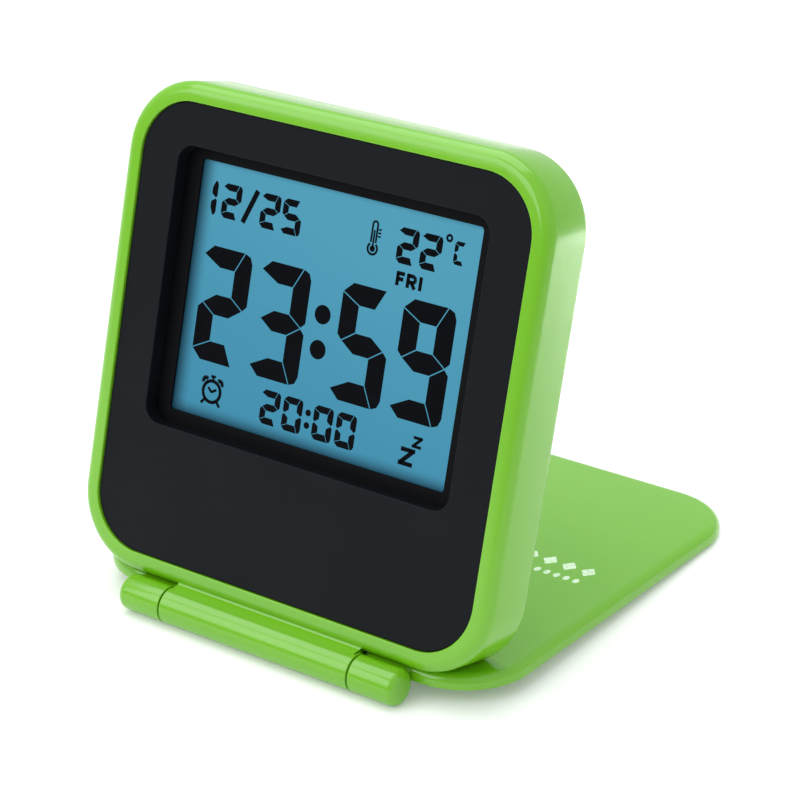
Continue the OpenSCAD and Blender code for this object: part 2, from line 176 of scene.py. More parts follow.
def turned(name, section, centre, along="Y", steps=48):
    """Solid of revolution: section points are (radius, place along the axis)."""
    rows = []
    for radius, place in section:
        row = []
        for k in range(steps):
            angle = 2 * math.pi * k / steps
            u, v = radius * math.cos(angle), radius * math.sin(angle)
            spot = (place, u, v) if along == "X" else (u, place, v)
            row.append(Vector(spot) + Vector(centre))
        rows.append(row)
    return skin(name, rows)


def on_hinge(name, section, steps=FINE_ROUND):
    """Solid of revolution about the hinge axis: section points are (radius, place along X)."""
    return turned(name, section, (0, hinge_at.y, hinge_at.z), along="X", steps=steps)


def prism(name, outline, low, high, along="X"):
    """Outline of (Y, Z) points drawn out along X, or of (X, Z) points drawn out along Y."""
    if along == "X":
        return skin(name, [[(end, u, v) for u, v in outline] for end in (low, high)])
    return skin(name, [[(u, end, v) for u, v in outline] for end in (low, high)])


def bake(piece):
    """Turns a piece and its modifiers into one plain mesh."""
    view = bpy.context.evaluated_depsgraph_get()
    view.update()
    mesh = bpy.data.meshes.new_from_object(piece.evaluated_get(view))
    piece.modifiers.clear()
    piece.data = mesh
    return piece


def combine(piece, operation, *tools):
    """Joins the tools to a solid (UNION) or cuts them out of it (DIFFERENCE)."""
    for tool in tools:
        step = piece.modifiers.new(tool.name, "BOOLEAN")
        step.operation = operation
        step.solver = "EXACT"
        step.object = tool
    bake(piece)
    for tool in tools:
        bpy.data.objects.remove(tool)
    return piece


def soften(piece, width, segments=3):
    """Rounds every crisp edge, as a mould or a die leaves it, and shades the piece smooth."""
    made = bmesh.new()
    made.from_mesh(piece.data)
    bmesh.ops.remove_doubles(made, verts=made.verts, dist=0.004)
    bmesh.ops.dissolve_limit(made, angle_limit=math.radians(0.5), verts=made.verts, edges=made.edges)
    made.to_mesh(piece.data)
    made.free()
    piece.data.shade_smooth()
    edge = piece.modifiers.new("soft_edges", "BEVEL")
    edge.width = width
    edge.segments = segments
    edge.limit_method = "ANGLE"
    edge.angle_limit = math.radians(33)
    edge.use_clamp_overlap = False
    edge.harden_normals = True
    return bake(piece)


def fit(piece, place, body, slot, made_of, *nodes):
    """Sets a piece in place on its body, with its material, in the stead of its CAD nodes."""
    piece.data.transform(place)
    piece.data.materials.clear()
    piece.data.materials.append(made_of)
    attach(piece, body)
    if nodes:
        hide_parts(*nodes)
    return piece


class Wire:
    """One socket of a shader tree, used in plain arithmetic: each operator adds its Math node."""

    def __init__(self, tree, socket=None):
        self.tree = tree
        self.socket = socket

    def node(self, kind, settings=None, sockets=None, out=0):
        """Adds a node. Settings come first, then each socket's value or link."""
        made = self.tree.nodes.new(kind)
        for name, value in (settings or {}).items():
            setattr(made, name, value)
        for name, value in (sockets or {}).items():
            if isinstance(value, Wire):
                self.tree.links.new(value.socket, made.inputs[name])
            else:
                made.inputs[name].default_value = value
        return Wire(self.tree, made.outputs[out])

    def maths(self, operation, first, second):
        """Math node on two values or sockets."""
        return self.node("ShaderNodeMath", {"operation": operation}, {0: first, 1: second})

    def __add__(self, other):
        return self.maths("ADD", self, other)

    def __sub__(self, other):
        return self.maths("SUBTRACT", self, other)

    def __rsub__(self, other):
        return self.maths("SUBTRACT", other, self)

    def __mul__(self, other):
        return self.maths("MULTIPLY", self, other)

    __radd__ = __add__
    __rmul__ = __mul__

    def between(self, low, high, start=0.0, stop=1.0):
        """Runs from start to stop while the value goes from low to high, and stays there."""
        ends = {"Value": self, "From Min": low, "From Max": high, "To Min": start, "To Max": stop}
        return self.node("ShaderNodeMapRange", {"interpolation_type": "SMOOTHSTEP"}, ends)

    def axis(self, which):
        """One of a position's three parts."""
        return self.node("ShaderNodeSeparateXYZ", None, {0: self}, out="XYZ".index(which))

    def noise(self, scale, detail=2.0, rough=0.5, stretch=(1.0, 1.0, 1.0)):
        """Cloudy noise on a position, with so many swells to the metre."""
        spot = self.node("ShaderNodeMapping", None, {"Vector": self, "Scale": stretch})
        return self.node("ShaderNodeTexNoise", None,
                         {"Vector": spot, "Scale": scale, "Detail": detail, "Roughness": rough})

    def colour(self, low, high):
        """Colour that goes from low to high with the value."""
        return self.node("ShaderNodeMix", {"data_type": "RGBA"}, {0: self, 6: low, 7: high}, out=2)

    def bump(self, depth_mm, strength):
        """Relief so many millimetres deep."""
        return self.node("ShaderNodeBump", None,
                         {"Height": self, "Strength": strength, "Distance": depth_mm * MM})


def finish(name, **fixed):
    """New material with its fixed sockets set: gives the material, its shader and Object position."""
    made = bpy.data.materials.new(name)
    made.use_nodes = True
    shader = made.node_tree.nodes["Principled BSDF"]
    for socket, value in fixed.items():
        shader.inputs[socket.replace("_", " ")].default_value = value
    place = Wire(made.node_tree).node("ShaderNodeTexCoord", out="Object")
    return made, shader, place


def feed(shader, **varying):
    """Links what varies over the surface into the shader."""
    for socket, wire in varying.items():
        wire.tree.links.new(wire.socket, shader.inputs[socket.replace("_", " ")])


def lime_abs():
    """High-gloss ABS, coloured through, with faint orange peel and fine handling marks."""
    made, shader, place = finish("lime_abs", IOR=1.56, Specular_IOR_Level=0.56)
    drift = place.noise(38, detail=3)
    peel = place.noise(650, detail=2)
    grain = place.noise(5200, detail=1)
    rubbed = place.noise(130, detail=4, rough=0.6).between(0.52, 0.72)
    scratch = place.noise(900, detail=2, stretch=(1.0, 0.06, 0.06)).between(0.66, 0.74)
    marks = rubbed * 0.5 + scratch * 0.5
    feed(shader,
         Base_Color=drift.colour((0.128, 0.400, 0.0045, 1), (0.156, 0.448, 0.0075, 1)),
         Roughness=0.14 + marks * 0.06 + grain * 0.03,
         Normal=(peel + grain * 0.15 - scratch * 0.1).bump(0.006, 0.5))
    return made


lime = lime_abs()

case_section = rounded([(5, 0, 0), (0, 0, FRONT_ROUND), (0, case_depth, BACK_ROUND), (5, case_depth, 0)])
case_shell = slab("front_case_shell", case_width, case_height, CASE_CORNER, case_section,
                  z=case_height / 2, steps=FINE_CORNER)
cavity_top = case_height - WALL
cavity_corner = CASE_CORNER - WALL
cavity = slab("cavity", case_width - 2 * WALL, cavity_top - FOOT_THICK, cavity_corner,
              [(0, SEAT_BACK), (0, case_depth + 1)], z=(cavity_top + FOOT_THICK) / 2, steps=FINE_CORNER)
seat = slab("panel_seat", case_width - 2 * RIM, case_height - 2 * RIM, CASE_CORNER - RIM + 0.2,
            [(0, -1), (0, PANEL_SEAT)], z=case_height / 2, steps=FINE_CORNER)
opening = slab("opening", case_width - 2 * (RIM + SEAT_LEDGE), case_height - 2 * (RIM + SEAT_LEDGE),
               CASE_CORNER - RIM - SEAT_LEDGE, [(0, 1), (0, SEAT_BACK + 0.5)],
               z=case_height / 2, steps=FINE_CORNER)
combine(case_shell, "DIFFERENCE", cavity, seat, opening)

plate_points = [point for point in points_of("cover", cover_frame) if point.z > panel_middle]
cover_outer = min(point.y for point in plate_points)
cover_inner = max(point.y for point in plate_points)
cover_top = max(point.z for point in plate_points)
cover_to_case = case_frame.inverted() @ cover_frame

neck_top = hinge_at.z + barrel_radius
neck_outline = rounded([
    (hinge_at.y + 0.3, hinge_at.z + 0.3, 0),
    (hinge_at.y - 0.9, neck_top - 0.15, 0),
    (0.2, neck_top + 0.4, NECK_SOFT),
    (0.65, FRONT_ROUND - 0.75, 0),
    (1.0, FRONT_ROUND + 0.2, 0),
    (hinge_at.y + barrel_radius, FRONT_ROUND, 0),
    (hinge_at.y + barrel_radius - 0.35, hinge_at.z + 1.3, 0)])
neck = prism("neck", neck_outline, NECK_IN - barrel_half, barrel_half - NECK_IN)
barrel = on_hinge("barrel", [(barrel_radius, -barrel_half), (barrel_radius, barrel_half)])
combine(case_shell, "UNION", neck, barrel)

foot_cut = slab("foot_cut", 2 * case_width, FOOT_CUT_HIGH, 0.5,
                [(0, cover_outer - REST_GAP), (0, cover_outer + 20)], z=FOOT_CUT_HIGH / 2 + 0.2)
foot_cut.data.transform(cover_to_case)
pin_bores = [on_hinge("pin_bore", [(PIN_ROOM, side * (barrel_half - PIN_REACH)),
                                   (PIN_ROOM, side * (barrel_half + 1))], steps=24) for side in (-1, 1)]
combine(case_shell, "DIFFERENCE", foot_cut, *pin_bores)

soften(case_shell, MOULD_EDGE)
fit(case_shell, case_frame, "clock_body", "lime_plastic", lime, "front_case")

# ---- screw pillars ----
# Four round pillars of the front case, one in each corner, with a pilot hole that the back
# cover's screw cuts its thread into. They are moulded in one with the case walls.
CASE_BOSS = 2.2
PILOT = 0.82
BACK_LET_IN = 1.2


def spots_of(node):
    """Centres (x, z) of the four like fasteners of a node, one to each quarter of the case."""
    found = points_of(node, case_frame)
    spots = []
    for side in (-1, 1):
        for half in (-1, 1):
            near = [point for point in found
                    if point.x * side > 0 and (point.z - case_height / 2) * half > 0]
            spots.append(((min(p.x for p in near) + max(p.x for p in near)) / 2,
                          (min(p.z for p in near) + max(p.z for p in near)) / 2))
    return spots


def drill(radius, spot, low, high):
    """Round cutter or pillar that runs into the depth of the case."""
    return turned("drill", [(radius, low), (radius, high)], (spot[0], 0, spot[1]), steps=32)


def set_out_tree():
    """Geometry Nodes: a copy of one part at each point of a mesh, at that point's own size."""
    tree = bpy.data.node_groups.new("set_out", "GeometryNodeTree")
    for name, way, kind in (("Points", "INPUT", "Geometry"), ("Part", "INPUT", "Object"),
                            ("Finish", "INPUT", "Material"), ("Parts", "OUTPUT", "Geometry")):
        tree.interface.new_socket(name, in_out=way, socket_type="NodeSocket" + kind)
    given = tree.nodes.new("NodeGroupInput")
    taken = tree.nodes.new("NodeGroupOutput")
    start = Wire(tree)
    part = start.node("GeometryNodeObjectInfo", None,
                      {"Object": Wire(tree, given.outputs["Part"])}, out="Geometry")
    size = start.node("GeometryNodeInputNamedAttribute", {"data_type": "FLOAT_VECTOR"},
                      {"Name": "size"}, out="Attribute")
    copies = start.node("GeometryNodeInstanceOnPoints", None,
                        {"Points": Wire(tree, given.outputs["Points"]), "Instance": part, "Scale": size})
    plain = start.node("GeometryNodeRealizeInstances", None, {"Geometry": copies})
    done = start.node("GeometryNodeSetMaterial", None,
                      {"Geometry": plain, "Material": Wire(tree, given.outputs["Finish"])})
    tree.links.new(done.socket, taken.inputs["Parts"])
    return tree


set_out_nodes = set_out_tree()
set_out_inputs = {item.name: item.identifier for item in set_out_nodes.interface.items_tree
                  if item.in_out == "INPUT"}


def set_out(name, part, spots, made_of):
    """Copies the part to each spot (point, size) by Geometry Nodes, as one plain mesh."""
    mesh = bpy.data.meshes.new(name)
    mesh.from_pydata([point for point, _ in spots], [], [])
    sizes = mesh.attributes.new("size", "FLOAT_VECTOR", "POINT")
    for at, (_, size) in zip(sizes.data, spots):
        at.vector = size
    piece = placed(name, mesh)
    step = piece.modifiers.new("set_out", "NODES")
    step.node_group = set_out_nodes
    step[set_out_inputs["Part"]] = part
    step[set_out_inputs["Finish"]] = made_of
    bake(piece)
    bpy.data.objects.remove(part)
    made = bmesh.new()
    made.from_mesh(piece.data)
    bmesh.ops.recalc_face_normals(made, faces=made.faces)
    made.to_mesh(piece.data)
    made.free()
    return piece


screw_spots = spots_of("case_screws")
screw_low = reach("case_screws", case_frame)[0]
pillar = drill(CASE_BOSS, (0, 0), PANEL_SEAT + 0.02, case_depth - BACK_LET_IN - 0.02)
combine(pillar, "DIFFERENCE", drill(PILOT, (0, 0), screw_low.y - 0.2, case_depth))
pillars = set_out("screw_pillars", pillar, [((x, 0, z), (1, 1, 1)) for x, z in screw_spots], lime)
fit(pillars, case_frame, "clock_body", "lime_plastic", lime)

# ---- flip cover ----
# One lime ABS moulding: a thin plate with soft edges and a shallow tray inside, two outer hinge
# knuckles, and a notch between them for the barrel. Swung round, it is the clock's stand.
COVER_OUTER_ROUND = 1.5
COVER_INNER_ROUND = 0.5
COVER_PLATE = 1.3
COVER_WALL = 1.7
COVER_FOOT_WALL = 3.2
KNUCKLE_GAP = 0.25
KNUCKLE_ROUND = 1.2
NOTCH_ROOM = 1.25
PIN_RADIUS = 0.75

knuckle_start = barrel_half + KNUCKLE_GAP
knuckle_end = max(point.x for point in points_of("cover", cover_frame) if point.z < hinge_at.z)
cover_section = rounded([(8, cover_outer, 0), (0, cover_outer, COVER_OUTER_ROUND),
                         (0, cover_inner, COVER_INNER_ROUND), (8, cover_inner, 0)])
cover_plate = slab("flip_cover", case_width, cover_top, CASE_CORNER, cover_section,
                   z=cover_top / 2, steps=FINE_CORNER)
tray_floor = cover_outer + COVER_PLATE
tray = slab("tray", case_width - 2 * COVER_WALL, cover_top - 2 * COVER_FOOT_WALL, CASE_CORNER - COVER_WALL,
            [Vector((0.4, tray_floor)), Vector((0, tray_floor + 0.3)), Vector((0, 1))],
            z=cover_top / 2, steps=FINE_CORNER)
combine(cover_plate, "DIFFERENCE", tray)
tongue_wide = knuckle_end - KNUCKLE_ROUND - knuckle_start
tongue_high = COVER_WALL - hinge_at.z
for side in (-1, 1):
    knuckle = on_hinge("knuckle", rounded([
        (0.4, side * knuckle_end, 0), (barrel_radius, side * knuckle_end, KNUCKLE_ROUND),
        (barrel_radius, side * knuckle_start, 0)]))
    tongue = slab("tongue", tongue_wide, tongue_high, 0.05,
                  [(0, cover_outer), (0, cover_inner)],
                  x=side * (knuckle_start + tongue_wide / 2), z=COVER_WALL - tongue_high / 2, steps=1)
    combine(cover_plate, "UNION", tongue, knuckle)
notch_radius = barrel_radius + NOTCH_ROOM
notch = on_hinge("notch", [(notch_radius, -knuckle_start), (notch_radius, knuckle_start)])
hole_radius = PIN_RADIUS + 0.001
pin_holes = [on_hinge("pin_hole", [(hole_radius, side * (knuckle_start - 1)),
                                   (hole_radius, side * (knuckle_end - KNUCKLE_ROUND))], steps=24)
             for side in (-1, 1)]
table = prism("table", [(-300, -9), (300, -9), (300, 0), (-300, 0)], -100, 100)
table.data.transform(cover_frame.inverted() @ Matrix.Scale(MM, 4))
combine(cover_plate, "DIFFERENCE", notch, table, *pin_holes)
soften(cover_plate, MOULD_EDGE)
fit(cover_plate, cover_frame, "flip_cover", "lime_plastic", lime, "cover")

# ---- front panel ----
# Satin black ABS plate glued into the rim, with a raised collar behind its window.
PANEL_CORNER = 8.6
WINDOW_CORNER = 2.7
WINDOW_WIDTH = 55.3
WINDOW_HEIGHT = 42.2
WINDOW_MIDDLE = 44.5

panel_low, panel_high = reach("front_panel", case_frame)


def black_satin():
    """Fine spark-eroded mould texture in black ABS, a little polished by handling."""
    made, shader, place = finish("black_satin", IOR=1.5, Specular_IOR_Level=0.10)
    texture = place.noise(7000, detail=2, rough=0.6)
    smear = place.noise(90, detail=3).between(0.45, 0.75)
    scratch = place.noise(700, detail=2, stretch=(0.05, 1.0, 1.0)).between(0.68, 0.74)
    feed(shader,
         Base_Color=smear.colour((0.0046, 0.0058, 0.0078, 1), (0.0062, 0.0076, 0.0096, 1)),
         Roughness=0.36 - smear * 0.05 + scratch * 0.06,
         Normal=(texture - scratch * 0.3).bump(0.004, 0.35))
    return made


satin = black_satin()
panel = slab("black_panel", panel_high.x - panel_low.x, panel_high.z - panel_low.z, PANEL_CORNER,
             [(0, panel_low.y), (0, PANEL_SEAT)], z=case_height / 2, steps=FINE_CORNER)
collar = slab("collar", WINDOW_WIDTH + 2, WINDOW_HEIGHT + 2, WINDOW_CORNER + 1,
              [(0, PANEL_SEAT - 0.2), (0, panel_high.y)], z=WINDOW_MIDDLE)
combine(panel, "UNION", collar)
window = slab("window", WINDOW_WIDTH, WINDOW_HEIGHT, WINDOW_CORNER, [(0, -2), (0, 6)], z=WINDOW_MIDDLE)
combine(panel, "DIFFERENCE", window)
soften(panel, 0.12)
fit(panel, case_frame, "clock_body", "panel_black", satin, "front_panel")

# ---- display frame ----
# Matt black ABS frame behind the panel. Its thin front wall masks the edge of the display, and
# the pocket behind holds the glasses, the light guide and the contact strip.
MASK_CORNER = 0.6
VIEW_WIDTH = 50.0
VIEW_HEIGHT = 38.2
VIEW_MIDDLE = WINDOW_MIDDLE + 0.15
GLASS_ROOM = 0.1
BOSS_ROOM = 0.4
FRAME_SCREW_HOLE = 0.6
FRAME_SCREW_DEEP = 3
BEHIND = 12

frame_low, frame_high = reach("display_frame", case_frame)
glass_low, glass_high = reach("front_glass", case_frame)
mask_back = reach("front_polarizer", case_frame)[0].y - 0.03


def block(name, low, high, corner, section, room=0, steps=10):
    """Slab as wide and high as a CAD node, with room round it."""
    return slab(name, high.x - low.x + 2 * room, high.z - low.z + 2 * room, corner, section,
                z=(low.z + high.z) / 2, steps=steps)


def black_matt():
    """Coarse matt mould texture that swallows stray light round the display."""
    made, shader, place = finish("black_matt", IOR=1.5, Specular_IOR_Level=0.08)
    texture = place.noise(4200, detail=3, rough=0.65)
    feed(shader,
         Base_Color=texture.colour((0.0012, 0.0014, 0.0020, 1), (0.0026, 0.0030, 0.0038, 1)),
         Roughness=0.55 + texture * 0.15,
         Normal=texture.bump(0.01, 0.5))
    return made


matt = black_matt()
display_frame = block("black_display_frame", frame_low, frame_high, 2,
                      [(0, frame_low.y), (0, frame_high.y)])
glass_pocket = block("glass_pocket", glass_low, glass_high, 0.05,
                     [(0, mask_back), (0, BEHIND)], room=GLASS_ROOM, steps=1)
view_hole = slab("view_hole", VIEW_WIDTH, VIEW_HEIGHT, MASK_CORNER, [(0, 1), (0, 6)], z=VIEW_MIDDLE)
boss_room = [drill(CASE_BOSS + BOSS_ROOM, spot, 0, BEHIND) for spot in screw_spots]
frame_holes = [drill(FRAME_SCREW_HOLE, spot, frame_high.y - FRAME_SCREW_DEEP, BEHIND)
               for spot in spots_of("board_screws")]
combine(display_frame, "DIFFERENCE", glass_pocket, view_hole, *boss_room, *frame_holes)
soften(display_frame, 0.05, segments=2)
fit(display_frame, case_frame, "clock_body", "frame_black", matt, "display_frame")

# ---- display: front polarizer ----
# The blue face of the liquid-crystal display: a polarizer film over the front glass, lit from behind, its
# glow a little brighter towards the upper right.
# Painted shade darkens it towards its left and lower edges, and narrowly at its top edge, where the
# window's walls shade the film.
film_low, film_high = reach("front_polarizer", case_frame)


def lit_blue():
    """Pale blue transflective film with its backlight on, and painted shade along its edges."""
    made, shader, place = finish("lit_blue", Roughness=0.22, Specular_IOR_Level=0.08,
                                 Emission_Strength=1.0)
    centre = case_frame @ Vector((0, 0, VIEW_MIDDLE))
    on_face = place.node("ShaderNodeMapping", {"vector_type": "TEXTURE"},
                         {"Vector": place, "Location": centre, "Rotation": (-lean, 0, 0),
                          "Scale": (MM, MM, MM)})
    across = on_face.axis("X")
    up = on_face.axis("Z")
    # Painted shade: darker towards the left, lower and top edges of the view, where the window's walls
    # shade the film.
    from_left = (across + VIEW_WIDTH / 2).between(-0.6, 3.0)
    from_foot = (up + VIEW_HEIGHT / 2).between(-0.8, 2.2)
    from_top = (up * -1.0 + VIEW_HEIGHT / 2).between(-1.2, 0.8)
    wall_shade = from_left * from_foot * from_top
    slope = (up + across * 0.25).between(-26, 26)
    cloud = place.noise(60, detail=2) * 0.12 + place.noise(9000, detail=1) * 0.05
    glow = (slope * 0.8 + cloud).colour((0.034, 0.206, 0.326, 1), (0.076, 0.300, 0.418, 1))
    # Painted shade: the edge mask darkens both the film's colour and its backlight glow near the edges.
    feed(shader,
         Base_Color=wall_shade.colour((0.003, 0.010, 0.016, 1), (0.012, 0.048, 0.070, 1)),
         Emission_Color=wall_shade.colour((0.004, 0.025, 0.045, 1), glow))
    return made


front_film = block("display_face", film_low, film_high, 0.2,
                   [(0.03, film_low.y), (0, film_low.y + 0.03), (0, film_high.y)], steps=2)
fit(front_film, case_frame, "clock_body", "lcd_blue", lit_blue(), "front_polarizer")

# ---- display: what it shows ----
# Dark segments of the liquid crystal: date, room temperature, weekday, time, alarm time and two
# signs. They are no thicker than ink, and lie on the face of the film.
MARK_PROUD = 0.012
BIG_DIGIT = (9.15, 17.45, 3.2, 0.17)
SMALL_DIGIT = (3.6, 5.25, 1.12, 0.09)
DEGREE_LETTER = (2.1, 3.4, 0.68, 0.07)
SIGN_SHIFT = (0.2, 0.1)
DATE_DOWN = 5.3
WARMTH_DOWN = 5.25
TIME_DOWN = 20.9
ALARM_DOWN = 33.7
OVERLAP = 0.06
LIT = {"0": "abcdef", "1": "bc", "2": "abdeg", "3": "abcdg", "5": "acdfg", "9": "abcdfg",
       "C": "adef"}
HALVES = {"a": ("bar", 1), "d": ("bar", -1), "b": ("right", 1), "c": ("right", -1),
          "f": ("left", 1), "e": ("left", -1), "g": ("middle", 1)}


def dark_crystal():
    """Switched-on liquid crystal, almost black and as glossy as the film over it."""
    made, shader, place = finish("dark_crystal", Specular_IOR_Level=0.04)
    blot = place.noise(400, detail=2)
    feed(shader,
         Base_Color=blot.colour((0.0010, 0.0015, 0.0026, 1), (0.0022, 0.0030, 0.0048, 1)),
         Roughness=0.25 + blot * 0.08)
    return made


crystal = dark_crystal()


def segment_forms(width, height, stroke, gap):
    """Outlines of the upper half's segments about the digit's centre; the lower half mirrors them."""
    w, h, t = width / 2, height / 2, stroke
    corner, nip = 0.17 * width, 0.09 * width
    forms = {
        "bar": [(-w, h - corner), (-w + t, h - t), (w - t, h - t), (w - corner, h),
                (-w + 1.1 * corner, h)],
        "left": [(-w, h - corner), (-w + t, h - t), (-w + t, t / 2), (-w + nip, 0), (-w, nip)],
        "right": [(w - t, h - t), (w - corner, h), (w - 0.3 * corner, h - 0.3 * corner),
                  (w, h - corner), (w, nip), (w - nip, 0), (w - t, t / 2)],
        "middle": [(-w + nip, 0), (-w + t, t / 2), (w - t, t / 2), (w - nip, 0),
                   (w - t, -t / 2), (-w + t, -t / 2)],
    }
    return {name: drawn_in(outline, gap / 2) for name, outline in forms.items()}


def drawn_in(outline, inset):
    """The same convex outline, with each side moved in."""
    area = sum(a[0] * b[1] - b[0] * a[1] for a, b in zip(outline, outline[1:] + outline[:1]))
    points = [Vector(point) for point in (outline if area > 0 else outline[::-1])]
    smaller = []
    for i, here in enumerate(points):
        before = (here - points[i - 1]).normalized()
        after = (points[(i + 1) % len(points)] - here).normalized()
        inward = Vector((-before.y, before.x)) + Vector((-after.y, after.x))
        smaller.append(here + inward * inset / (1 + before.dot(after)))
    return smaller


def lcd_spot(across, down):
    """Centre of a mark from the middle of the view's top edge, in the case's frame."""
    return (across + SIGN_SHIFT[0], film_low.y, VIEW_MIDDLE + VIEW_HEIGHT / 2 - down - SIGN_SHIFT[1])


def digits(style, *shown):
    """Each digit (text, across, down) of one size, as its lit segments."""
    made = []
    forms = segment_forms(*style)
    for form, outline in forms.items():
        spots = []
        for text, across, down in shown:
            for letter in LIT[text]:
                kind, flip = HALVES[letter]
                if kind == form:
                    spots.append((lcd_spot(across, down), (1, 1, flip)))
        if spots:
            part = prism(form, outline, -MARK_PROUD, MARK_PROUD, along="Y")
            made.append(set_out("digit_segments", part, spots, crystal))
    return made


def mark(outline, spot):
    """One sign of the display from its outline, measured across and up from a spot."""
    x, y, z = lcd_spot(*spot)
    return prism("mark", [(x + u, z + v) for u, v in outline], y - MARK_PROUD, y + MARK_PROUD, along="Y")


def bar(start, stop, wide, spot):
    """Straight stroke of a sign."""
    a, b = Vector(start), Vector(stop)
    side = (b - a).normalized() * wide / 2
    side = Vector((-side.y, side.x))
    return mark([a - side, b - side, b + side, a + side], spot)


def merge(pieces):
    """Joins the pieces to the first of them, as one mesh."""
    with bpy.context.temp_override(active_object=pieces[0], selected_editable_objects=pieces):
        bpy.ops.object.join()
    return pieces[0]


def bars(wide, spot, *strokes):
    """Straight strokes of one sign, each from its start to its stop."""
    return [bar(start, stop, wide, spot) for start, stop in strokes]


def round_point(middle, radius, angle):
    """Point of a circle at an angle, in radians."""
    return (middle[0] + radius * math.cos(angle), middle[1] + radius * math.sin(angle))


def disc(radius, spot, middle=(0, 0), steps=28):
    """Round dot of a sign."""
    return mark([round_point(middle, radius, 2 * math.pi * k / steps) for k in range(steps)], spot)


def hoop(radius, wide, spot, middle=(0, 0), start=0, sweep=360, steps=28):
    """Stroke along an arc, from short straight bars."""
    made = []
    for k in range(steps):
        ends = [math.radians(start + sweep * (k + j) / steps) for j in (-OVERLAP, 1 + OVERLAP)]
        made.append(bar(*[round_point(middle, radius, angle) for angle in ends], wide, spot))
    return made


marks = digits(BIG_DIGIT, ("2", -18.4, TIME_DOWN), ("3", -7.55, TIME_DOWN),
               ("5", 7.25, TIME_DOWN), ("9", 17.9, TIME_DOWN))
marks += digits(SMALL_DIGIT, ("1", -23.75, DATE_DOWN), ("2", -19.25, DATE_DOWN),
                ("2", -12.05, DATE_DOWN), ("5", -8.1, DATE_DOWN),
                ("2", 12.5, WARMTH_DOWN), ("2", 16.5, WARMTH_DOWN),
                ("2", -7.2, ALARM_DOWN), ("0", -3.1, ALARM_DOWN),
                ("0", 2.45, ALARM_DOWN), ("0", 6.6, ALARM_DOWN))
marks += digits(DEGREE_LETTER, ("C", 21.3, 4.4))
marks += [disc(1.42, (-0.25, down)) for down in (18.0, 23.2)]
marks += [disc(0.5, (-0.3, down)) for down in (32.7, 34.6)]
marks += bars(0.85, (-15.7, DATE_DOWN), ((-1.1, -2.55), (1.0, 2.55)))
marks += hoop(0.42, 0.36, (19.2, 2.6), steps=20)

# weekday
DAY = (13.7, 10.0)
STROKE = 0.58
marks += bars(STROKE, DAY,
              ((-2.1, -1), (-2.1, 1)), ((-2.3, 0.78), (-0.95, 0.78)), ((-2.1, -0.02), (-1.1, -0.02)),
              ((-0.3, -1), (-0.3, 1)), ((-0.5, 0.78), (0.5, 0.78)), ((-0.3, -0.12), (0.5, -0.12)),
              ((0.25, -0.1), (0.95, -1)))
marks += hoop(0.45, STROKE, DAY, middle=(0.5, 0.33), start=-90, sweep=180, steps=10)
marks += bars(STROKE, DAY, ((1.85, -1), (1.85, 1)))

# thermometer
TUBE = (6.6, 5.2)
marks += bars(0.32, TUBE, ((-0.42, -0.7), (-0.42, 1.95)), ((0.42, -0.7), (0.42, 1.95)))
marks += hoop(0.42, 0.32, TUBE, middle=(0, 1.95), start=0, sweep=180, steps=10)
marks += hoop(0.82, 0.34, TUBE, middle=(0, -1.6), start=125, sweep=290, steps=24)
marks += [disc(0.46, TUBE, middle=(0, -1.6))]
marks += bars(0.3, TUBE, ((0, -1.6), (0, 1.1)))
marks += bars(0.26, TUBE, *[((0.65, notch_up), (1.15, notch_up)) for notch_up in (0.3, 0.8, 1.3)])

# alarm bell clock
BELL = (-18.2, 33.9)
marks += hoop(1.62, 0.52, BELL, steps=36)
marks += bars(0.4, BELL, ((0, -0.1), (-0.75, 0.55)), ((-0.1, -0.1), (0.85, 0.45)))
marks += bars(0.42, BELL, ((-0.45, 2.3), (0.45, 2.3)))
marks += bars(0.34, BELL, ((0, 1.7), (0, 2.3)))
for hand, start in ((-1, 45), (1, -30)):
    marks += hoop(0.5, 0.62, BELL, middle=(hand * 1.3, 1.42), start=start, sweep=165, steps=12)
    marks += bars(0.46, BELL, ((hand * 1.15, -1.35), (hand * 1.75, -2.05)))

# two sleepers' signs, for the alarm's second call
for spot, size, pen in (((17.6, 34.7), 1.34, 0.64), ((19.05, 32.25), 0.86, 0.44)):
    marks += [bar((-size * 0.85, size - pen / 2), (size, size - pen / 2), pen, spot),
              bar((-size, -size + pen / 2), (size * 0.85, -size + pen / 2), pen, spot),
              bar((size * 0.75, size - pen / 2), (-size * 0.75, -size + pen / 2), pen * 1.05, spot)]


shown = merge(marks)
shown.name = "display_marks"
fit(shown, case_frame, "clock_body", "lcd_blue", crystal)

# ---- hinge pins ----
# Two ground steel pins, pressed into the cover's knuckles and turning in the middle barrel.
PIN_CHAMFER = 0.15


def steel(name, tone, rough, brushing):
    """Bare or plated metal with fine tool marks; brushing stretches the marks along a direction."""
    made, shader, place = finish(name, Metallic=1.0)
    lines = place.noise(2600, detail=3, rough=0.65, stretch=brushing)
    stain = place.noise(320, detail=3)
    dull = tuple(part * 0.86 for part in tone)
    feed(shader,
         Base_Color=stain.between(0.35, 0.7).colour((*dull, 1), (*tone, 1)),
         Roughness=lines * 0.12 + stain * 0.05 + rough,
         Normal=lines.bump(0.003, 0.4))
    return made


pin_finish = steel("ground_steel", (0.66, 0.67, 0.69), 0.16, (0.1, 1.0, 1.0))
for node in ("hinge_pin_left", "hinge_pin_right"):
    pin_low, pin_high = reach(node, cover_frame)
    pin = on_hinge(node + "_turned", [
        (PIN_RADIUS - PIN_CHAMFER, pin_low.x), (PIN_RADIUS, pin_low.x + PIN_CHAMFER),
        (PIN_RADIUS, pin_high.x - PIN_CHAMFER), (PIN_RADIUS - PIN_CHAMFER, pin_high.x)], steps=40)
    pin.data.shade_smooth()
    pin.data.set_sharp_from_angle(angle=math.radians(30))
    fit(pin, cover_frame, "flip_cover", "pin_steel", pin_finish, node)

